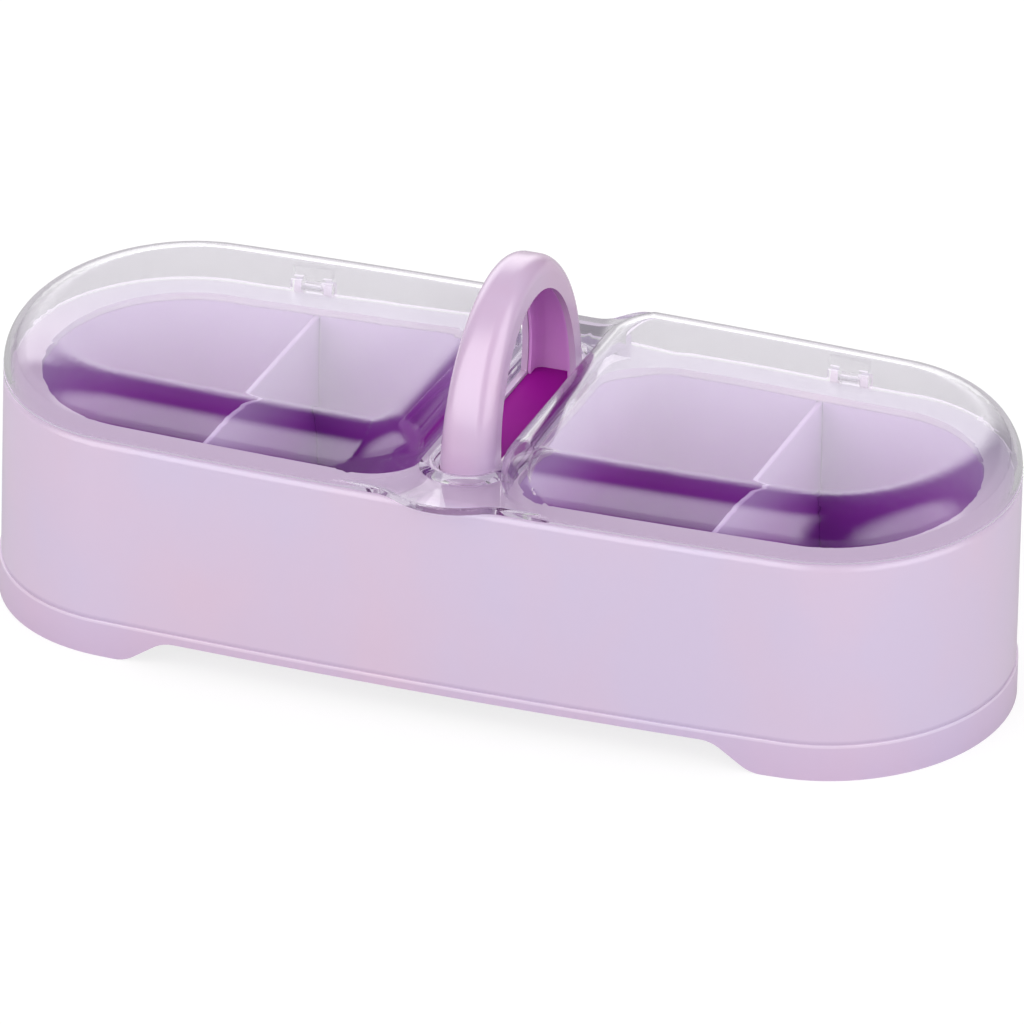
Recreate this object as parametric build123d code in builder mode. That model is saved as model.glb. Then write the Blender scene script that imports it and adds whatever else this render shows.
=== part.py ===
"""Long four-compartment spice box with a carry arch and a clear lid hinged at the back.

Sizes are in millimetres. X runs along the box, Y from front to back and Z up from the floor.
The origin is on the floor under the middle of the box.
"""
from build123d import *
from math import asin, atan2, cos, degrees, radians, sin, sqrt, tan
import os

os.makedirs("parts", exist_ok=True)

# Plan outline, taken at the lower edge of the lid
end_centre = 110.9
end_reach = 54.1
end_half_width = 64.0
side_radius = 2160.0

# Base shell
rim_height = 74.2
shell_wall = 2.2
deck_thickness = 2.4
body_overhang = 0.1
rim_round = 3.0
skirt_overhang = 0.6
skirt_height = 12.2
skirt_edge = 0.4
arch_height = 8.9
arch_half_foot = 104.0
arch_ramp = 13.0
arch_round = 12.0

# Compartment tubs and their dividers
ledge_width = 12.3
tub_half_gap = 16.0
tub_corner = 18.0
tub_wall = 2.4
tub_floor = 2.0
tub_underside = 10.0
tub_inside_round = 6.0
tub_flange = 1.4
tub_flange_thickness = 1.8
divider_position = 84.3
divider_thickness = 1.8
divider_bottom_round = 7.0
groove_depth = 1.0
groove_play = 0.2
seat_gap = 0.2

# Carry arch with its foot frame, and the plate between the legs
handle_half_span = 44.8
handle_rise = 50.3
handle_spring_height = 4.1
handle_half_foot = 9.2
handle_half_crown = 7.2
handle_depth = 10.2
handle_crown_round = 5.6
handle_skin = 2.4
handle_rim = 2.0
channel_round = 3.6
strip_height = 0.4
foot_plate_thickness = 2.0
foot_plate_flange = 2.1
deck_slot_play = 0.3
plate_thickness = 1.9
plate_play = 0.2
plate_ledge = 2.2
liner_play = 0.1
liner_thickness = 0.9
liner_recess = 0.5

# Lid
lid_gap = 0.25
lid_wall = 2.0
dome_height = 18.5
dome_round = 15.6
dome_start = 13.5
dome_corner = 24.0
dome_inner_round = 11.2
slot_half_width = 9.8
slot_half_length = 51.5
bead_width = 5.4
bead_height = 4.4
bead_round = 1.9
bead_outer_round = 3.3
bridge_height = 2.45
bridge_half_width = 40.0
bridge_round = 0.8
ridge_height = 7.4
ridge_foot = 56.0
ridge_half_floor = 9.0
ridge_half_top = 24.0
ridge_round = 14.0
tab_reach = 6.9
tab_radius = 24.1
tab_blend = 15.0
lip_height = 1.2
lip_reach = 0.25

# Hinge at the back of the box
hinge_position = 90.0
hinge_outset = 2.5
hinge_height = 0.6
pin_radius = 1.2
pin_play = 0.07
knuckle_radius = 2.7
knuckle_half_width = 3.3
knuckle_top = 9.0
knuckle_proud = 0.4
hood_height = 4.9
hood_half_width = 6.4
ear_thickness = 2.8
ear_play = 0.3
ear_depth = 6.0
pocket_play = 0.5
notch_play = 0.5
notch_height = 3.8

# Heights and places worked out from the sizes above
arch_half_top = arch_half_foot - arch_ramp
deck_underside = rim_height - deck_thickness
tub_top = deck_underside - seat_gap
divider_top = tub_top
tub_inside_floor = tub_underside + tub_floor
foot_plate_top = deck_underside - seat_gap
foot_plate_bottom = foot_plate_top - foot_plate_thickness
plate_bottom = foot_plate_top + 0.1
plate_top = plate_bottom + plate_thickness
strip_top = rim_height + strip_height
handle_spring = rim_height + handle_spring_height
lid_base = rim_height + lid_gap
dome_top = rim_height + dome_height
bridge_top = rim_height + bridge_height
ridge_top = rim_height + ridge_height
bead_top = rim_height + bead_height
through = 200.0


def side_join(inset):
    """Corner where a long side runs into a rounded end, in the quarter with X and Y positive."""
    reach = end_reach - inset
    half_width = end_half_width - inset
    lean = asin(end_centre / (side_radius - inset))
    turn = atan2(half_width, reach * tan(lean))
    return end_centre + reach * cos(turn), half_width * sin(turn), turn


def half_width_at(x, inset):
    """Half the width of the box at x, for an outline shrunk by inset."""
    join_x, join_y, turn = side_join(inset)
    radius = side_radius - inset
    return join_y + sqrt(radius**2 - x**2) - sqrt(radius**2 - join_x**2)


def plan_outline(inset):
    """Plan face of the box: two rounded ends and two slightly bowed sides, shrunk by inset."""
    turn = degrees(side_join(inset)[2])
    reach = end_reach - inset
    half_width = end_half_width - inset
    with BuildSketch() as plan:
        with BuildLine():
            right = EllipticalCenterArc((end_centre, 0), reach, half_width, -turn, arc_size=2 * turn)
            left = EllipticalCenterArc((-end_centre, 0), reach, half_width, 180 - turn, arc_size=2 * turn)
            ThreePointArc(right @ 1, (0, half_width_at(0, inset)), left @ 0)
            ThreePointArc(left @ 1, (0, -half_width_at(0, inset)), right @ 0)
        make_face()
    return plan.sketch


def end_outline(inset, cut, corner):
    """Right-hand part of the plan beyond X = cut, with its two inner corners rounded."""
    with BuildSketch() as end:
        add(plan_outline(inset))
        with Locations((cut, 0)):
            Rectangle(through, through, align=(Align.MIN, Align.CENTER), mode=Mode.INTERSECT)
        fillet(end.vertices().sort_by(Axis.X)[:2], corner)
    return end.sketch


def tub_outline(growth):
    """Plan of the right-hand tub's inside, grown outwards."""
    return end_outline(ledge_width - growth, tub_half_gap - growth, tub_corner + growth)


def arch_slab(inset, floor):
    """Arch seen from the side, from the floor height up, shrunk by inset and as wide as its feet."""
    half_span = handle_half_span - inset
    with BuildPart() as slab:
        with BuildSketch(Plane.YZ.offset(-handle_half_foot)):
            with BuildLine():
                crown = EllipticalCenterArc((0, handle_spring), half_span, handle_rise - inset, 0, arc_size=180)
                Polyline(crown @ 1, (-half_span, floor), (half_span, floor), crown @ 0)
            make_face()
        extrude(amount=2 * handle_half_foot)
    return slab.part


def arch_block(inset, trim, floor, rounding):
    """Solid arch whose sides lean in towards the top, with its outer edges rounded."""
    foot = handle_half_foot - trim
    crown = handle_half_crown - trim
    with BuildPart() as block:
        add(arch_slab(inset, floor))
        with BuildSketch(Plane.XZ.offset(-through)):
            with BuildLine():
                Polyline(
                    (-foot, 0),
                    (foot, 0),
                    (foot, strip_top),
                    (crown, handle_spring + handle_rise),
                    (-crown, handle_spring + handle_rise),
                    (-foot, strip_top),
                    close=True,
                )
            make_face()
        extrude(amount=2 * through, mode=Mode.INTERSECT)
        outer_edges = block.edges().filter_by(
            lambda edge: abs(edge.center().X) > crown / 2
            and (edge.center().Z > handle_spring or abs(edge.center().Y) > handle_half_span - inset - 0.1)
        )
        fillet(outer_edges, rounding)
    return block.part


# Base shell: outer wall, rounded rim, deck, stepped skirt and two long feet
hinge_y = half_width_at(hinge_position, 0) + hinge_outset
hinge_z = rim_height + hinge_height

with BuildPart() as base_shell:
    with BuildSketch():
        add(plan_outline(-body_overhang))
    extrude(amount=rim_height)
    fillet(base_shell.faces().sort_by(Axis.Z)[-1].edges(), rim_round)
    with BuildSketch():
        add(plan_outline(-body_overhang - skirt_overhang))
    extrude(amount=skirt_height)
    skirt_step = base_shell.faces().filter_by(Axis.Z).group_by(Axis.Z)[1]
    fillet(skirt_step.sort_by(Axis.Z)[0].outer_wire().edges(), skirt_edge)

    # Ears that hold the hinge pins
    for side in (-1, 1):
        for cheek in (-1, 1):
            inner_face = knuckle_half_width + ear_play
            middle = side * hinge_position + cheek * (inner_face + ear_thickness / 2)
            with BuildSketch(Plane.YZ.offset(middle)):
                with Locations((hinge_y, hinge_z)):
                    Circle(knuckle_radius)
                with BuildLine():
                    Polyline(
                        (hinge_y - knuckle_radius, hinge_z),
                        (hinge_y + knuckle_radius, hinge_z),
                        (hinge_y + knuckle_radius, hinge_z - ear_depth / 2),
                        (hinge_y - knuckle_radius, hinge_z - ear_depth - knuckle_radius),
                        close=True,
                    )
                make_face()
            extrude(amount=ear_thickness / 2, both=True)

    # Hollow underside, open to the floor
    with BuildSketch():
        add(plan_outline(shell_wall - body_overhang))
    extrude(amount=deck_underside, mode=Mode.SUBTRACT)

    # Long low arch cut in the front and back between the feet
    with BuildSketch(Plane.XZ) as foot_arch:
        with BuildLine():
            Polyline(
                (-arch_half_foot - arch_round, -arch_height),
                (arch_half_foot + arch_round, -arch_height),
                (arch_half_foot + arch_round, 0),
                (arch_half_foot, 0),
                (arch_half_top, arch_height),
                (-arch_half_top, arch_height),
                (-arch_half_foot, 0),
                (-arch_half_foot - arch_round, 0),
                close=True,
            )
        make_face()
        ramp_ends = foot_arch.vertices().filter_by(
            lambda corner: corner.Y > -arch_height / 2 and abs(corner.X) < arch_half_foot + 1
        )
        fillet(ramp_ends, arch_round)
    extrude(amount=through, both=True, mode=Mode.SUBTRACT)

    # Openings in the deck for the two tubs and the carry arch
    with BuildSketch(Plane.XY.offset(deck_underside)):
        add(tub_outline(0))
        mirror(about=Plane.YZ)
    extrude(amount=deck_thickness, mode=Mode.SUBTRACT)
    with BuildSketch(Plane.XY.offset(deck_underside)):
        RectangleRounded(
            2 * (handle_half_foot + deck_slot_play),
            2 * (handle_half_span + deck_slot_play),
            handle_crown_round + deck_slot_play,
        )
    extrude(amount=deck_thickness, mode=Mode.SUBTRACT)

    # Pockets for the lid's knuckles and bores for the pins
    for side in (-1, 1):
        with BuildSketch(Plane.YZ.offset(side * hinge_position)):
            with Locations((hinge_y, hinge_z)):
                Circle(knuckle_radius + pocket_play)
        extrude(amount=knuckle_half_width + ear_play, both=True, mode=Mode.SUBTRACT)
        with BuildSketch(Plane.YZ.offset(side * hinge_position)):
            with Locations((hinge_y, hinge_z)):
                Circle(pin_radius)
        extrude(amount=knuckle_half_width + ear_play + ear_thickness, both=True, mode=Mode.SUBTRACT)
base_shell.part.label = "base_shell"

# Compartment tubs, hung under the deck
groove_half = divider_thickness / 2 + groove_play
with BuildPart() as right_tub:
    with BuildSketch(Plane.XY.offset(tub_underside)):
        add(tub_outline(tub_wall))
    extrude(amount=tub_top - tub_underside)
    with BuildSketch(Plane.XY.offset(tub_top - tub_flange_thickness)):
        add(tub_outline(tub_wall + tub_flange))
    extrude(amount=tub_flange_thickness)
    fillet(right_tub.faces().sort_by(Axis.Z)[0].edges(), tub_inside_round)
    with BuildSketch(Plane.XY.offset(tub_top)):
        add(tub_outline(0))
    extrude(amount=tub_inside_floor - tub_top, mode=Mode.SUBTRACT)
    floor_face = right_tub.faces().filter_by(Axis.Z).sort_by_distance((end_centre, 0, tub_inside_floor))[0]
    fillet(floor_face.edges(), tub_inside_round - tub_floor)
    with BuildSketch(Plane.XY.offset(tub_inside_floor + divider_bottom_round)):
        with Locations((divider_position, 0)):
            Rectangle(
                2 * groove_half,
                2 * (half_width_at(divider_position, ledge_width) + groove_depth),
            )
    extrude(amount=tub_top - tub_inside_floor, mode=Mode.SUBTRACT)
right_tub.part.label = "right_tub"

with BuildPart() as left_tub:
    mirror(right_tub.part, about=Plane.YZ)
left_tub.part.label = "left_tub"

# Dividers that slide down into the grooves of the tubs
divider_half = half_width_at(divider_position, ledge_width) + groove_depth - groove_play
with BuildPart() as right_divider:
    with BuildSketch(Plane.YZ.offset(divider_position)) as divider_side:
        with BuildLine():
            shoulder = tub_inside_floor + divider_bottom_round + groove_play
            toe = divider_half - groove_depth - (tub_inside_round - tub_floor)
            waist = divider_half - groove_depth
            Polyline(
                (-toe, tub_inside_floor + groove_play),
                (toe, tub_inside_floor + groove_play),
                (waist, tub_inside_floor + groove_play + waist - toe),
                (waist, shoulder),
                (divider_half, shoulder),
                (divider_half, divider_top),
                (-divider_half, divider_top),
                (-divider_half, shoulder),
                (-waist, shoulder),
                (-waist, tub_inside_floor + groove_play + waist - toe),
                close=True,
            )
        make_face()
    extrude(amount=divider_thickness / 2, both=True)
    fillet(right_divider.faces().sort_by(Axis.Z)[-1].edges().filter_by(Axis.Y), divider_thickness / 3)
right_divider.part.label = "right_divider"

with BuildPart() as left_divider:
    mirror(right_divider.part, about=Plane.YZ)
left_divider.part.label = "left_divider"

# Carry arch: a channel bent over the box, with two strips and a foot plate between its legs
arch_body = arch_block(0, 0, foot_plate_bottom, handle_crown_round)
arch_channel = arch_block(handle_skin, handle_rim, foot_plate_top, channel_round)
with BuildPart() as handle:
    add(arch_body)
    add(arch_slab(handle_depth, strip_top), mode=Mode.SUBTRACT)
    add(arch_channel, mode=Mode.SUBTRACT)
    with BuildSketch(Plane.XY.offset(foot_plate_bottom)):
        RectangleRounded(
            2 * (handle_half_foot + foot_plate_flange),
            2 * (handle_half_span + foot_plate_flange),
            handle_crown_round + foot_plate_flange,
        )
    extrude(amount=foot_plate_thickness)
    with BuildSketch(Plane.XY.offset(foot_plate_bottom)):
        RectangleRounded(
            2 * (handle_half_foot - handle_rim - plate_ledge),
            2 * (handle_half_span - handle_skin - plate_ledge),
            channel_round,
        )
    extrude(amount=foot_plate_thickness, mode=Mode.SUBTRACT)
handle.part.label = "handle"

# Coloured plate that closes the space between the legs of the arch
with BuildPart() as centre_plate:
    with BuildSketch(Plane.XY.offset(plate_bottom)):
        RectangleRounded(
            2 * (handle_half_foot - handle_rim - plate_play),
            2 * (handle_half_span - handle_skin - plate_play),
            channel_round - plate_play,
        )
    extrude(amount=plate_thickness)
centre_plate.part.label = "centre_plate"

# Purple liner that follows the channel of the arch and stands on the plate
liner_skin = handle_skin + liner_play
liner_rim = handle_rim + liner_play
liner_body = arch_block(liner_skin, liner_rim, plate_top, channel_round - liner_play)
liner_channel = arch_block(
    liner_skin + liner_thickness,
    liner_rim + liner_thickness,
    plate_top - liner_thickness,
    channel_round - liner_play - liner_thickness,
)
with BuildPart() as handle_liner:
    add(liner_body)
    add(liner_channel, mode=Mode.SUBTRACT)
    add(arch_slab(handle_depth - liner_recess, plate_top), mode=Mode.SUBTRACT)
handle_liner.part.label = "handle_liner"


def long_block(inset):
    """Block over the whole plan with the wide outer shoulder of the lid, shrunk by inset."""
    with BuildPart() as block:
        with BuildSketch(Plane.XY.offset(lid_base)):
            add(plan_outline(inset))
        extrude(amount=dome_top - inset - lid_base)
        fillet(block.faces().sort_by(Axis.Z)[-1].edges(), dome_round - inset)
    return block.part


def dome(inset):
    """Right-hand dome of the lid: the wide outer shoulder and a tighter one towards the slot."""
    with BuildPart() as end_dome:
        with BuildSketch(Plane.XY.offset(lid_base)):
            add(end_outline(inset, dome_start + inset, dome_corner - inset))
        extrude(amount=dome_top - inset - lid_base)
        fillet(end_dome.faces().sort_by(Axis.Z)[-1].edges(), dome_inner_round - inset)
        add(long_block(inset), mode=Mode.INTERSECT)
    return end_dome.part


def ridge(inset):
    """Back of the lid's middle: it rises from the slot to the back wall and sweeps up to the domes."""
    run = half_width_at(0, 0) - ridge_foot
    rise = ridge_top - bridge_top
    side_top = dome_top - rise - inset
    with BuildPart() as back_ridge:
        with BuildSketch(Plane.XZ.offset(-ridge_foot)) as profile:
            with BuildLine():
                Polyline(
                    (-bridge_half_width, lid_base - rise - dome_height),
                    (-bridge_half_width, side_top),
                    (-ridge_half_top, side_top),
                    (-ridge_half_floor, bridge_top - inset),
                    (ridge_half_floor, bridge_top - inset),
                    (ridge_half_top, side_top),
                    (bridge_half_width, side_top),
                    (bridge_half_width, lid_base - rise - dome_height),
                    close=True,
                )
            make_face()
            sweep_ends = profile.vertices().filter_by(
                lambda corner: abs(corner.X) < bridge_half_width - 1
            )
            fillet(sweep_ends, ridge_round)
        extrude(amount=2 * run, dir=(0, run, rise))
        add(long_block(inset), mode=Mode.INTERSECT)
    return back_ridge.part


with BuildPart() as bridge:
    with BuildSketch(Plane.XY.offset(lid_base)) as bridge_plan:
        add(plan_outline(0))
        Rectangle(4 * bridge_half_width, through, mode=Mode.INTERSECT)
        with Locations((0, tab_radius - half_width_at(0, 0) - tab_reach)):
            Circle(tab_radius)
        tab_joins = bridge_plan.vertices().filter_by(
            lambda corner: corner.Y < -end_half_width / 2 and abs(corner.X) < bridge_half_width
        )
        fillet(tab_joins, tab_blend)
        Rectangle(2 * bridge_half_width, through, mode=Mode.INTERSECT)
    extrude(amount=bridge_top - lid_base)
    front_edges = bridge.faces().sort_by(Axis.Z)[-1].edges().filter_by(
        lambda edge: edge.center().Y < 0 and abs(edge.center().X) < bridge_half_width - 0.1
    )
    fillet(front_edges, bridge_round)

with BuildPart() as bead:
    with BuildSketch(Plane.XY.offset(lid_base)):
        SlotOverall(2 * (slot_half_length + bead_width), 2 * (slot_half_width + bead_width), rotation=90)
        SlotOverall(2 * slot_half_length, 2 * slot_half_width, rotation=90, mode=Mode.SUBTRACT)
    extrude(amount=bead_top - lid_base)
    fillet(bead.faces().sort_by(Axis.Z)[-1].outer_wire().edges(), bead_outer_round)
    fillet(bead.faces().sort_by(Axis.Z)[-1].inner_wires().edges(), bead_round)

outer_dome = dome(0)
inner_dome = dome(lid_wall)

# Clear lid: one shell over both ends, with a beaded slot for the arch and hinge knuckles at the back
with BuildPart() as lid:
    add(outer_dome)
    mirror(outer_dome, about=Plane.YZ)
    add(ridge(0))
    add(bridge.part)
    with BuildSketch(Plane.XY.offset(lid_base)):
        add(plan_outline(-lip_reach))
        add(plan_outline(lid_wall), mode=Mode.SUBTRACT)
    extrude(amount=lip_height)
    add(inner_dome, mode=Mode.SUBTRACT)
    mirror(inner_dome, about=Plane.YZ, mode=Mode.SUBTRACT)
    add(ridge(lid_wall), mode=Mode.SUBTRACT)
    with BuildSketch(Plane.XY.offset(lid_base)):
        SlotOverall(2 * slot_half_length, 2 * slot_half_width, rotation=90)
    extrude(amount=dome_height, mode=Mode.SUBTRACT)
    add(bead.part)
    wall_face = half_width_at(hinge_position, 0)
    for side in (-1, 1):
        with BuildSketch(Plane.YZ.offset(side * hinge_position)):
            with Locations((wall_face, rim_height)):
                Rectangle(4 * lid_wall, 2 * notch_height)
        extrude(
            amount=knuckle_half_width + ear_play + ear_thickness + notch_play,
            both=True,
            mode=Mode.SUBTRACT,
        )
        with BuildSketch(Plane.YZ.offset(side * hinge_position)):
            with Locations((hinge_y, hinge_z)):
                Circle(knuckle_radius)
            with BuildLine():
                Polyline(
                    (wall_face - lid_wall, hinge_z),
                    (hinge_y + knuckle_proud, hinge_z),
                    (hinge_y + knuckle_proud, rim_height + knuckle_top),
                    (wall_face - lid_wall, rim_height + knuckle_top),
                    close=True,
                )
            make_face()
        extrude(amount=knuckle_half_width, both=True)
        with BuildSketch(Plane.YZ.offset(side * hinge_position)):
            with BuildLine():
                Polyline(
                    (wall_face - lid_wall, rim_height + hood_height),
                    (hinge_y + knuckle_proud, rim_height + hood_height),
                    (hinge_y + knuckle_proud, rim_height + knuckle_top),
                    (wall_face - lid_wall, rim_height + knuckle_top),
                    close=True,
                )
            make_face()
        extrude(amount=hood_half_width, both=True)
        with BuildSketch(Plane.YZ.offset(side * hinge_position)):
            with Locations((hinge_y, hinge_z)):
                Circle(pin_radius + pin_play)
        extrude(amount=knuckle_half_width, both=True, mode=Mode.SUBTRACT)
lid.part.label = "lid"

# Hinge pins, one at each end of the back
for name, side in (("left_hinge_pin", -1), ("right_hinge_pin", 1)):
    pin_half_length = knuckle_half_width + ear_play + ear_thickness
    with BuildPart() as pin:
        with BuildSketch(Plane.YZ.offset(side * hinge_position)):
            with Locations((hinge_y, hinge_z)):
                Circle(pin_radius)
        extrude(amount=pin_half_length, both=True)
    pin.part.label = name
    export_step(pin.part, "parts/" + name + ".step")

for piece in (
    base_shell,
    left_tub,
    right_tub,
    left_divider,
    right_divider,
    handle,
    handle_liner,
    centre_plate,
    lid,
):
    export_step(piece.part, "parts/" + piece.part.label + ".step")
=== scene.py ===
# %% [markdown]
# # A spice box with a carry arch and a clear hinged lid
#
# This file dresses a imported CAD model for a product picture. The shapes of the box, its
# compartments, the arch and the lid come from the CAD part and are used as they are. Blender
# adds the finishes, the light, the floor and the camera. Lengths are in metres and Z is up.

from math import cos, radians, sin

import bpy
from mathutils import Matrix, Vector

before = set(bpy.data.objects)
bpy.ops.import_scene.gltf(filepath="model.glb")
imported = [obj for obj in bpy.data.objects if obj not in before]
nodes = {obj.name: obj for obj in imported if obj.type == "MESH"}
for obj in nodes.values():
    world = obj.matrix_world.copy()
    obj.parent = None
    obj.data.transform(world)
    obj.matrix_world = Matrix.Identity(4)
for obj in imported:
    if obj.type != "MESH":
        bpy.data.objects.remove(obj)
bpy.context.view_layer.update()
scene = bpy.context.scene
scene.view_settings.view_transform = "Standard"

# %% [markdown]
# ## Smooth curves on the CAD nodes
#
# The real pieces are moulded, with rounded shoulders and a few crisp corners. A CAD node
# arrives as loose flat triangles. They could be modelled again with smooth surfaces, but two
# modifiers do the same and leave the CAD mesh as it is: Weld joins the corners of the
# triangles, and Edge Split keeps a corner crisp where the surface turns sharply.

# %% Weld and smooth every node
WELD_DISTANCE = 0.00001
CRISP_ANGLE = radians(28)


def smooth_node(node):
    """Joins the triangles of a CAD node for shading and keeps its real corners crisp."""
    for face in node.data.polygons:
        face.use_smooth = True
    weld = node.modifiers.new("join_corners", "WELD")
    weld.merge_threshold = WELD_DISTANCE
    split = node.modifiers.new("crisp_corners", "EDGE_SPLIT")
    split.split_angle = CRISP_ANGLE


for node in nodes.values():
    smooth_node(node)
print("smoothed nodes", len(nodes))

# %% [markdown]
# ## Helpers for node trees
#
# A material, the floor paint and the painted studio light are all trees of small nodes. A
# few helpers that add one node and connect it keep the later cells short enough to read like
# sentences.

# %% Add and connect nodes


def new_material(name):
    """An empty node material with its tree, its Principled shader and its output."""
    material = bpy.data.materials.new(name)
    material.use_nodes = True
    tree = material.node_tree
    return material, tree, tree.nodes["Principled BSDF"], tree.nodes["Material Output"]


def add_node(tree, kind, **settings):
    """A new node with its plain settings filled in."""
    node = tree.nodes.new(kind)
    for key, value in settings.items():
        setattr(node, key, value)
    return node


def plug(tree, value, socket):
    """Links a socket to another one, or sets it to a plain value."""
    if isinstance(value, bpy.types.NodeSocket):
        tree.links.new(value, socket)
    else:
        socket.default_value = value


def combine(tree, operation, first, second):
    """One math node on sockets or numbers."""
    node = add_node(tree, "ShaderNodeMath", operation=operation)
    plug(tree, first, node.inputs[0])
    plug(tree, second, node.inputs[1])
    return node.outputs[0]


def edge_step(tree, value, start, end):
    """0 where the value is at start, 1 where it is at end, smooth between them."""
    step = add_node(tree, "ShaderNodeMapRange", interpolation_type="SMOOTHSTEP", clamp=True)
    step.inputs["From Min"].default_value = start
    step.inputs["From Max"].default_value = end
    tree.links.new(value, step.inputs["Value"])
    return step.outputs["Result"]


print("helpers for single nodes ready")

# %% Mix colours and shaders


def mix_colours(tree, factor, first, second, blend="MIX"):
    """The first colour at factor 0 and the second, or their product, at factor 1."""
    mix = add_node(tree, "ShaderNodeMixRGB", blend_type=blend)
    plug(tree, factor, mix.inputs["Fac"])
    plug(tree, first, mix.inputs["Color1"])
    plug(tree, second, mix.inputs["Color2"])
    return mix.outputs["Color"]


def mix_shaders(tree, factor, first, second):
    """The first shader at factor 0 and the second at factor 1."""
    mix = add_node(tree, "ShaderNodeMixShader")
    tree.links.new(factor, mix.inputs["Fac"])
    tree.links.new(first, mix.inputs[1])
    tree.links.new(second, mix.inputs[2])
    return mix.outputs["Shader"]


def colour_ramp(tree, factor, stops):
    """Colour read from a list of positions and colours."""
    ramp = add_node(tree, "ShaderNodeValToRGB")
    elements = ramp.color_ramp.elements
    while len(elements) < len(stops):
        elements.new(1.0)
    for element, (position, colour) in zip(elements, stops):
        element.position = position
        element.color = (*colour, 1)
    tree.links.new(factor, ramp.inputs["Fac"])
    return ramp.outputs["Color"]


print("helpers for mixing ready")

# %% [markdown]
# ## Moulded plastics
#
# The coloured pieces are moulded plastic. In the photograph the lilac has a pearly cast: large
# soft clouds that lean to pink and to blue. A painted image could hold those clouds, but soft
# noise gives them without one. The noise uses object coordinates, so it stays on the piece
# when the piece moves. A second, very fine noise is the grain of the mould, which breaks up
# the gloss.

# %% Soft noise, grain and uneven polish
SEED_STEP = Vector((1.0, 0.7, 0.3))
GRAIN_SEED = 4.0
GRAIN_SCALE = 900.0
GRAIN_DETAIL = 3.0
GRAIN_DEPTH = 0.00002
GRAIN_STRENGTH = 0.3


def soft_noise(tree, scale, detail=2.0, seed=0.0, upright=1.0):
    """Soft noise on object coordinates, stretched in height where upright is under 1."""
    place = add_node(tree, "ShaderNodeTexCoord")
    moved = add_node(tree, "ShaderNodeMapping")
    moved.inputs["Location"].default_value = seed * SEED_STEP
    moved.inputs["Scale"].default_value = (1.0, 1.0, upright)
    noise = add_node(tree, "ShaderNodeTexNoise")
    noise.inputs["Scale"].default_value = scale
    noise.inputs["Detail"].default_value = detail
    tree.links.new(place.outputs["Object"], moved.inputs["Vector"])
    tree.links.new(moved.outputs["Vector"], noise.inputs["Vector"])
    return noise.outputs["Fac"]


def add_grain(tree, shader):
    """The fine grain of a mould as a bump."""
    bump = add_node(tree, "ShaderNodeBump")
    bump.inputs["Strength"].default_value = GRAIN_STRENGTH
    bump.inputs["Distance"].default_value = GRAIN_DEPTH
    grain = soft_noise(tree, GRAIN_SCALE, GRAIN_DETAIL, GRAIN_SEED)
    tree.links.new(grain, bump.inputs["Height"])
    tree.links.new(bump.outputs["Normal"], shader.inputs["Normal"])


def vary_roughness(tree, shader, scale, smooth, dull):
    """Polish that wanders softly between a smooth and a dull value."""
    rough = add_node(tree, "ShaderNodeMapRange")
    rough.inputs["To Min"].default_value = smooth
    rough.inputs["To Max"].default_value = dull
    tree.links.new(soft_noise(tree, scale), rough.inputs["Value"])
    tree.links.new(rough.outputs["Result"], shader.inputs["Roughness"])


print("grain scale", GRAIN_SCALE)

# %% A coloured plastic
CLOUD_START = 0.35
CLOUD_END = 0.65
CLOUD_DETAIL = 3.0
CLOUD_UPRIGHT = 0.6
COAT_ROUGHNESS = 0.12


def moulded_plastic(name, tints, cloud_scale, roughness, coat=0.0, specular=0.5):
    """Coloured plastic with soft clouds of two tints and a fine grain."""
    material, tree, shader, _ = new_material(name)
    clouds = soft_noise(tree, cloud_scale, CLOUD_DETAIL, upright=CLOUD_UPRIGHT)
    stops = tuple(zip((CLOUD_START, CLOUD_END), tints))
    tree.links.new(colour_ramp(tree, clouds, stops), shader.inputs["Base Color"])
    shader.inputs["Roughness"].default_value = roughness
    shader.inputs["Coat Weight"].default_value = coat
    shader.inputs["Coat Roughness"].default_value = COAT_ROUGHNESS
    shader.inputs["Specular IOR Level"].default_value = specular
    add_grain(tree, shader)
    return material


def recolour(material, change):
    """Passes a material's base colour through a function of the tree and the colour."""
    tree = material.node_tree
    base = tree.nodes["Principled BSDF"].inputs["Base Color"]
    tree.links.new(change(tree, base.links[0].from_socket), base)


def object_axes(tree, output="Object"):
    """The X, Y and Z sockets of the object coordinates, or of the surface normal."""
    place = add_node(tree, "ShaderNodeTexCoord")
    split = add_node(tree, "ShaderNodeSeparateXYZ")
    tree.links.new(place.outputs[output], split.inputs["Vector"])
    return split.outputs


print("cloud tints run over", CLOUD_START, "to", CLOUD_END)

# %% [markdown]
# ## The lilac body and the carry arch
#
# Body and arch look like the same pale plastic, the arch with a little more gloss and a warmer
# tint. In the photograph the deck under the lid is deeper than the open walls, and deepest at
# the back, where less light reaches it. That is painted shade: other lights could do this, but
# they would change the walls too, so the material takes a deeper lilac where the surface is
# high up and faces the sky.

# %% Lilac plastics
LILAC_TINTS = ((0.70, 0.54, 0.69), (0.655, 0.55, 0.735))
HANDLE_TINTS = ((0.66, 0.46, 0.65), (0.66, 0.52, 0.72))
# Painted shade: the deck under the lid takes these deeper lilacs, the deepest at the back.
FRONT_DECK_SHADE = (0.64, 0.49, 0.67, 1)
REAR_DECK_SHADE = (0.47, 0.40, 0.54, 1)
DECK_HEIGHT = 0.06
SLOPING = 0.6
FACING_UP = 0.95
REAR_START = -0.02
REAR_FULL = 0.05


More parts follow.
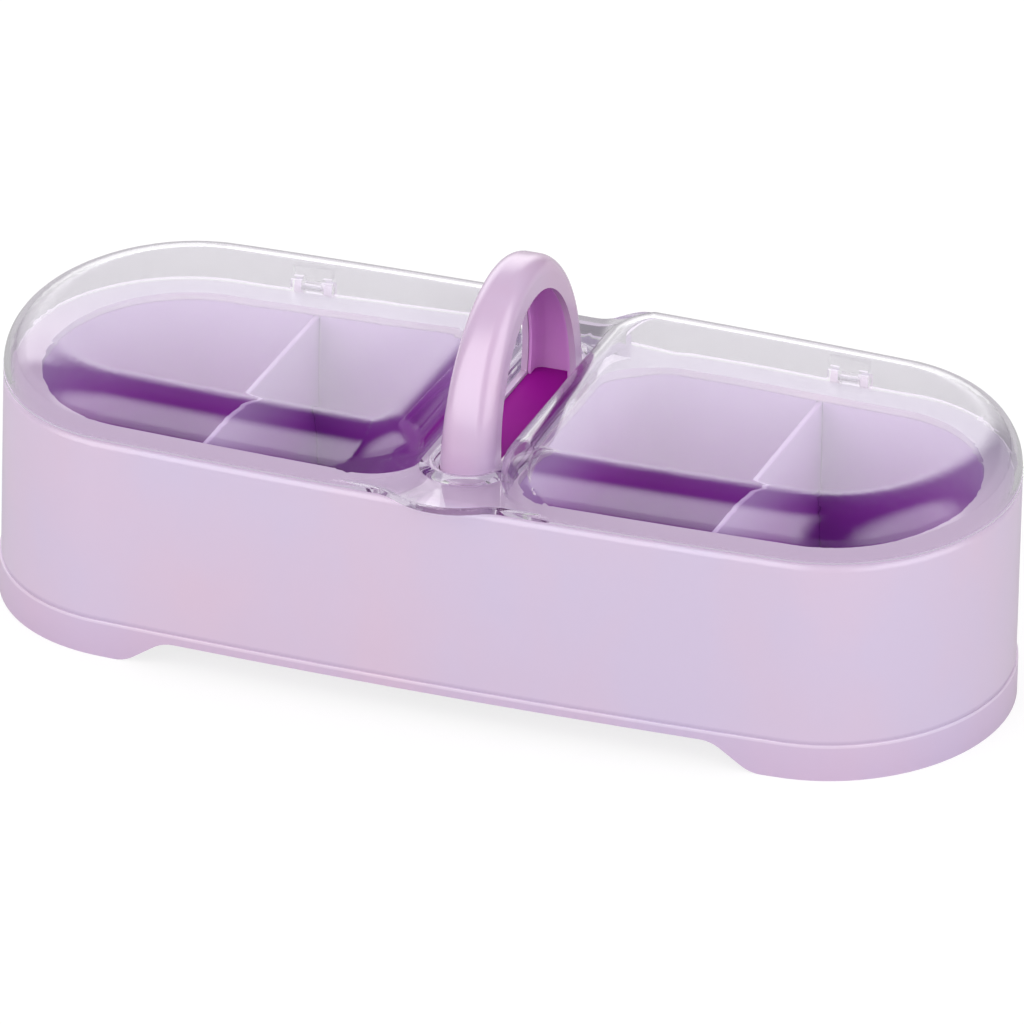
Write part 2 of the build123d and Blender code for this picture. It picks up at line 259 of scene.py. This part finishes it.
def paint_deck_shade(tree, colour):
    """Paints shade on the deck under the lid: a deeper lilac than the walls, deepest at the back.
    """
    position = object_axes(tree)
    high = combine(tree, "GREATER_THAN", position["Z"], DECK_HEIGHT)
    flat = edge_step(tree, object_axes(tree, "Normal")["Z"], SLOPING, FACING_UP)
    rear = edge_step(tree, position["Y"], REAR_START, REAR_FULL)
    deck = mix_colours(tree, rear, FRONT_DECK_SHADE, REAR_DECK_SHADE)
    return mix_colours(tree, combine(tree, "MULTIPLY", high, flat), colour, deck)


lilac_plastic = moulded_plastic("lilac_pearl_plastic", LILAC_TINTS, 17.0, 0.32, coat=0.3)
handle_plastic = moulded_plastic("lilac_handle_plastic", HANDLE_TINTS, 24.0, 0.26, coat=0.55)
recolour(lilac_plastic, paint_deck_shade)
print("lilac tints", LILAC_TINTS)

# %% [markdown]
# ## The step of the skirt
#
# The skirt stands out from the wall by 0.6 millimetres, which the CAD has as a real step. In
# the photograph the edge of that step catches a thin bright line, with a thin shadow above it.
# A step this small is about two pixels wide, too little for the light alone to draw both
# lines, so a painted highlight and a painted shadow at those heights help it. These shades
# multiply the lilac, so 1 leaves it as it is, and they deepen the skirt a little as well.

# %% Shade the skirt
SKIRT_RANGE = 0.020
# Painted highlight on the edge of the step (shades over 1) and painted shadow just above it
# (shades under 1).
SKIRT_PAINTED_LIGHT = (
    (0.0000, (0.93, 0.88, 0.93)),
    (0.0110, (0.94, 0.90, 0.94)),
    (0.0114, (1.10, 1.12, 1.08)),
    (0.0121, (1.10, 1.12, 1.08)),
    (0.0123, (0.82, 0.80, 0.84)),
    (0.0129, (0.88, 0.86, 0.90)),
    (0.0136, (1.00, 1.00, 1.00)),
)


def paint_step_highlight_and_shadow(tree, colour):
    """Deepens the skirt, and paints a highlight on the edge of its step and a shadow above it."""
    rise = combine(tree, "DIVIDE", object_axes(tree)["Z"], SKIRT_RANGE)
    stops = [(height / SKIRT_RANGE, shade) for height, shade in SKIRT_PAINTED_LIGHT]
    return mix_colours(tree, 1.0, colour, colour_ramp(tree, rise, stops), "MULTIPLY")


recolour(lilac_plastic, paint_step_highlight_and_shadow)
print("skirt shades", len(SKIRT_PAINTED_LIGHT))

# %% [markdown]
# ## The purple tubs, the liner and the magenta plate
#
# The tubs are a saturated purple, deep at the floor and paler towards the rim. The paler rim is
# painted light and the deep floor painted shade, as if light came through the wall near the rim
# and reached the floor less. A plastic that scatters light inside would need more samples for a
# clean picture, so the purple simply pales with height. The liner of the arch is a lighter
# purple, and the plate between its legs is a dull magenta.

# %% Purple and magenta plastics
PURPLE_TINTS = ((0.47, 0.075, 0.61), (0.53, 0.095, 0.63))
# Painted light: the tubs pale towards this colour at the rim, leaving painted shade deep at the
# floor.
PURPLE_RIM_LIGHT = (0.58, 0.38, 0.70, 1)
RIM_START = 0.034
RIM_FULL = 0.072
LINER_TINTS = ((0.74, 0.34, 0.75), (0.80, 0.40, 0.80))
MAGENTA_TINTS = ((0.32, 0.006, 0.30), (0.38, 0.010, 0.33))


def paint_light_towards_rim(tree, colour):
    """Paints light on the tub's purple: paler with height, with deeper shade towards the floor."""
    rise = edge_step(tree, object_axes(tree)["Z"], RIM_START, RIM_FULL)
    return mix_colours(tree, rise, colour, PURPLE_RIM_LIGHT)


purple_plastic = moulded_plastic("purple_tub_plastic", PURPLE_TINTS, 14.0, 0.4, specular=0.25)
recolour(purple_plastic, paint_light_towards_rim)
liner_plastic = moulded_plastic("purple_liner_plastic", LINER_TINTS, 20.0, 0.4, specular=0.25)
magenta_plastic = moulded_plastic("magenta_plate_plastic", MAGENTA_TINTS, 20.0, 0.6, specular=0.05)
print("the purple pales from", RIM_START, "to", RIM_FULL)

# %% [markdown]
# ## The clear lid
#
# The lid is a real shell with an inner and an outer face, so a transmissive Principled shader
# bends light as the moulded lid does. A plain transparent shader would be simpler, but it has
# no bright edges. Three kinds of ray need help. Shadow rays and diffuse rays pass straight
# through a Transparent shader, so that the light in the compartments is neither blocked nor
# counted twice. A ray that is still inside the thick rim after several bounces is let out in
# the same way, so that the rim doesn't turn black.

# %% Clear plastic
CLEAR_TINT = (0.965, 0.955, 0.98, 1)
STRAIGHT_TINT = (0.905, 0.895, 0.915, 1)
CLEAR_IOR = 1.49
TRAPPED_DEPTH = 3.5
POLISH_SCALE = 30.0
POLISH_RANGE = (0.01, 0.03)


def clear_plastic(name):
    """Clear moulded plastic that lets light into the compartments."""
    material, tree, shader, output = new_material(name)
    shader.inputs["Base Color"].default_value = CLEAR_TINT
    shader.inputs["IOR"].default_value = CLEAR_IOR
    shader.inputs["Transmission Weight"].default_value = 1.0
    vary_roughness(tree, shader, POLISH_SCALE, *POLISH_RANGE)
    straight = add_node(tree, "ShaderNodeBsdfTransparent").outputs["BSDF"]
    straight.node.inputs["Color"].default_value = STRAIGHT_TINT
    rays = add_node(tree, "ShaderNodeLightPath").outputs
    trapped = combine(tree, "GREATER_THAN", rays["Ray Depth"], TRAPPED_DEPTH)
    plastic = mix_shaders(tree, trapped, shader.outputs["BSDF"], straight)
    passing = combine(tree, "MAXIMUM", rays["Is Shadow Ray"], rays["Is Diffuse Ray"])
    tree.links.new(mix_shaders(tree, passing, plastic, straight), output.inputs["Surface"])
    return material


lid_clear = clear_plastic("clear_lid_plastic")
print("clear plastic, IOR", CLEAR_IOR)

# %% [markdown]
# ## The hinge pins
#
# The two pins that the lid turns on are short pieces of drawn wire. They hardly show, so a
# plain metal is enough, with polish that varies finely as drawing leaves it.

# %% Drawn steel
STEEL_TINT = (0.62, 0.62, 0.64, 1)
WIRE_SCALE = 400.0
WIRE_RANGE = (0.2, 0.4)


def drawn_steel(name):
    """Plain drawn wire."""
    material, tree, shader, _ = new_material(name)
    shader.inputs["Base Color"].default_value = STEEL_TINT
    shader.inputs["Metallic"].default_value = 1.0
    vary_roughness(tree, shader, WIRE_SCALE, *WIRE_RANGE)
    return material


pin_steel = drawn_steel("drawn_pin_steel")
print("steel roughness", WIRE_RANGE)

# %% [markdown]
# ## Put the finishes on
#
# Each real piece is moulded in one plastic, so each node gets one material. One table from
# node to material shows the whole box at a glance.

# %% Give every node its finish
FINISHES = {
    "base_shell": lilac_plastic,
    "handle": handle_plastic,
    "handle_liner": liner_plastic,
    "left_tub": purple_plastic,
    "right_tub": purple_plastic,
    "left_divider": purple_plastic,
    "right_divider": purple_plastic,
    "centre_plate": magenta_plastic,
    "lid": lid_clear,
    "left_hinge_pin": pin_steel,
    "right_hinge_pin": pin_steel,
}
for name, material in FINISHES.items():
    nodes[name].data.materials.clear()
    nodes[name].data.materials.append(material)
print("finished nodes", len(FINISHES))

# %% [markdown]
# ## The white floor
#
# The picture is a studio shot on white. A brighter lamp would turn the floor white, but it
# would wash out the lilac as well. So the floor has two paints, and the kind of ray chooses
# between them. The camera, a mirror ray or a ray through the lid sees a floor with its own
# glow and only a soft shade of the box on it. All other light sees a plain pale floor.
#
# Mirror rays see less than half of the glow, which keeps the edges of the lid from glaring.
# Cycles counts a ray through clear plastic as a mirror ray too, so the open lid looks grey on
# the floor. Each surface that a ray passes after the first wall dims the glow again, as in
# the photograph, where the back of the lid is a little grey.

# %% Choose by the kind of ray
WALL_LEVEL = 0.72
FIRST_WALL_SURFACES = 2


def switch(tree, flag, off, on):
    """The number off where the flag is 0 and the number on where it is 1."""
    return combine(tree, "ADD", combine(tree, "MULTIPLY", flag, on - off), off)


def dimmed_by_walls(tree, rays):
    """1 behind one wall of the lid, and less for every surface that is passed after it."""
    passed = combine(tree, "SUBTRACT", rays["Transmission Depth"], FIRST_WALL_SURFACES)
    return combine(tree, "POWER", WALL_LEVEL, combine(tree, "MAXIMUM", passed, 0.0))


print("each surface after the first wall leaves", WALL_LEVEL)

# %% Floor
FLOOR_SIDE = 8.0
FLOOR_PALE = (0.66, 0.66, 0.66, 1)
FLOOR_ROUGHNESS = 0.9
FLOOR_SHADE = (0.24, 0.24, 0.24, 1)
FLOOR_GLOW = 0.80
MIRRORED_LEVEL = 0.40


def floor_paint(name):
    """Pale paint with a second, glowing paint for the rays that lead to the camera."""
    paint, tree, pale, output = new_material(name)
    pale.inputs["Base Color"].default_value = FLOOR_PALE
    pale.inputs["Roughness"].default_value = FLOOR_ROUGHNESS
    pale.inputs["Specular IOR Level"].default_value = 0.0
    rays = add_node(tree, "ShaderNodeLightPath").outputs
    shaded = add_node(tree, "ShaderNodeBsdfDiffuse")
    shaded.inputs["Color"].default_value = FLOOR_SHADE
    glow = add_node(tree, "ShaderNodeEmission")
    level = switch(tree, rays["Is Glossy Ray"], 1.0, MIRRORED_LEVEL)
    level = combine(tree, "MULTIPLY", dimmed_by_walls(tree, rays), level)
    tree.links.new(combine(tree, "MULTIPLY", level, FLOOR_GLOW), glow.inputs["Strength"])
    both = add_node(tree, "ShaderNodeAddShader")
    tree.links.new(shaded.outputs["BSDF"], both.inputs[0])
    tree.links.new(glow.outputs["Emission"], both.inputs[1])
    seen = combine(tree, "MAXIMUM", rays["Is Camera Ray"], rays["Is Glossy Ray"])
    seen = combine(tree, "MAXIMUM", seen, rays["Is Transmission Ray"])
    paints = mix_shaders(tree, seen, pale.outputs["BSDF"], both.outputs["Shader"])
    tree.links.new(paints, output.inputs["Surface"])
    return paint


bpy.ops.object.select_all(action="DESELECT")
bpy.ops.mesh.primitive_plane_add(size=FLOOR_SIDE, location=(0, 0, 0))
floor = bpy.context.object
floor.name = "floor"
floor.data.materials.append(floor_paint("floor_paint"))
print("white floor", FLOOR_SIDE, "m wide")

# %% [markdown]
# ## Studio light painted on the world
#
# The soft boxes of the studio are painted on the world as smooth windows of directions.
# Lamps near the box would work too, but their reflections slide with the place on the lid.
# A far light has the same direction for every point, so the reflections depend on the shape
# of the lid alone, and they can be placed where the photograph has them.
#
# There are three boxes. The one at the back left lays a pale haze on the flat tops. The one
# at the front left lights the front shoulders and the face of the arch. The one on the right
# lights the rounded end. The dark gap between the back and the front box is what lets the
# purple tubs show through the shoulders. Mirror rays and rays through the lid see the front
# and the right box stronger than the rest of the light does.

# %% Start the world
world = bpy.data.worlds.new("studio")
scene.world = world
world.use_nodes = True
studio = world.node_tree
studio.nodes.clear()
direction = add_node(studio, "ShaderNodeTexCoord")
toward = add_node(studio, "ShaderNodeSeparateXYZ")
studio.links.new(direction.outputs["Generated"], toward.inputs["Vector"])
rays = add_node(studio, "ShaderNodeLightPath").outputs
mirrored = combine(studio, "MAXIMUM", rays["Is Glossy Ray"], rays["Is Transmission Ray"])
print("world", world.name)

# %% Soft boxes
BACK_BOX = 2.6
FRONT_BOX = 2.2
FRONT_BOX_MIRRORED = 4.1
RIGHT_BOX = 2.2
RIGHT_BOX_MIRRORED = 3.5
# Each edge is an axis of the direction, where the box is dark and where it is at full strength.
BACK_EDGES = (("Y", 0.2, 0.4), ("Z", 0.79, 0.50), ("Z", -0.15, 0.30), ("X", 0.24, -0.12))
FRONT_EDGES = (("Y", -0.20, -0.58), ("Z", -0.30, 0.25), ("X", 0.15, -0.12))
RIGHT_EDGES = (("X", 0.45, 0.80), ("Z", -0.25, 0.05), ("Y", 0.5, 0.2))


def soft_box(strength, edges):
    """A soft box: its strength times the product of its edges."""
    for axis, dark, full in edges:
        edge = edge_step(studio, toward.outputs[axis], dark, full)
        strength = combine(studio, "MULTIPLY", edge, strength)
    return strength


front_strength = switch(studio, mirrored, FRONT_BOX, FRONT_BOX_MIRRORED)
right_strength = switch(studio, mirrored, RIGHT_BOX, RIGHT_BOX_MIRRORED)
boxes = (
    soft_box(BACK_BOX, BACK_EDGES),
    soft_box(front_strength, FRONT_EDGES),
    soft_box(right_strength, RIGHT_EDGES),
)
print("soft boxes", len(boxes))

# %% [markdown]
# ## The room between the boxes
#
# A studio is never black between its lamps. An even light from the whole room lights the
# plastics, but the same rays hardly see it, so the lid keeps its contrast. Light that has
# bounced many times in the clear rim has picked up the lilac around it. Following it further
# would only add noise, so such a ray ends in an even lilac light.

# %% Room light and well-mixed light
ROOM_LEVEL = 0.55
ROOM_LEVEL_MIRRORED = 0.05
MIXED_DEPTH = 4.5
MIXED_TINT = (0.74, 0.66, 0.78, 1)

level = switch(studio, mirrored, ROOM_LEVEL, ROOM_LEVEL_MIRRORED)
for box_level in boxes:
    level = combine(studio, "ADD", box_level, level)
room = add_node(studio, "ShaderNodeBackground")
studio.links.new(level, room.inputs["Strength"])
mixed_light = add_node(studio, "ShaderNodeBackground")
mixed_light.inputs["Color"].default_value = MIXED_TINT
well_mixed = combine(studio, "GREATER_THAN", rays["Ray Depth"], MIXED_DEPTH)
room_light = mix_shaders(
    studio, well_mixed, room.outputs["Background"], mixed_light.outputs["Background"]
)
print("room level", ROOM_LEVEL)

# %% [markdown]
# ## The white background
#
# Behind the floor the picture is white too. The camera sees the world as plain white at
# strength 1, and so does a ray that looks through the lid towards the horizon. Behind the
# second wall of the lid the white is dimmed as the floor is.

# %% White background
SKY_HEIGHT = 0.30
HORIZON_HEIGHT = 0.15

white = add_node(studio, "ShaderNodeBackground")
studio.links.new(dimmed_by_walls(studio, rays), white.inputs["Strength"])
low = edge_step(studio, toward.outputs["Z"], SKY_HEIGHT, HORIZON_HEIGHT)
through_lid = combine(studio, "MULTIPLY", rays["Is Transmission Ray"], low)
seen = combine(studio, "MAXIMUM", rays["Is Camera Ray"], through_lid)
world_output = add_node(studio, "ShaderNodeOutputWorld")
picture_light = mix_shaders(studio, seen, room_light, white.outputs["Background"])
studio.links.new(picture_light, world_output.inputs["Surface"])
print("world nodes", len(studio.nodes))

# %% [markdown]
# ## The camera
#
# The photograph was taken from the front right and a little above, with a long lens that
# leaves almost no perspective. The angles, the distance and the lens were fitted to corners
# of the box that can be found in the photograph. The roll is the small tilt of the picture.

# %% Camera
AZIMUTH = radians(19.202)
ELEVATION = radians(25.655)
ROLL = radians(-1.395)
DISTANCE = 6.73865
AIM_RIGHT = 0.001188
AIM_UP = 0.037817
NUDGE_RIGHT = -0.000216
NUDGE_UP = 0.000068
LENS = 752.42
SENSOR = 36.0
CLIP_NEAR = 0.5
CLIP_FAR = 40.0

forward = Vector((-sin(AZIMUTH) * cos(ELEVATION), cos(AZIMUTH) * cos(ELEVATION), -sin(ELEVATION)))
right = Vector((cos(AZIMUTH), sin(AZIMUTH), 0))
up = Vector((-sin(AZIMUTH) * sin(ELEVATION), cos(AZIMUTH) * sin(ELEVATION), cos(ELEVATION)))
picture_right = right * cos(ROLL) - up * sin(ROLL)
picture_up = right * sin(ROLL) + up * cos(ROLL)
place = -forward * DISTANCE + right * AIM_RIGHT + up * AIM_UP
place += picture_right * NUDGE_RIGHT + picture_up * NUDGE_UP
lens_data = bpy.data.cameras.new("picture_camera")
lens_data.lens = LENS
lens_data.sensor_width = SENSOR
lens_data.clip_start = CLIP_NEAR
lens_data.clip_end = CLIP_FAR
camera = bpy.data.objects.new("picture_camera", lens_data)
scene.collection.objects.link(camera)
turn = Matrix((picture_right, picture_up, -forward)).transposed().to_4x4()
camera.matrix_world = Matrix.Translation(place) @ turn
scene.camera = camera
print("camera at", [round(v, 3) for v in place])
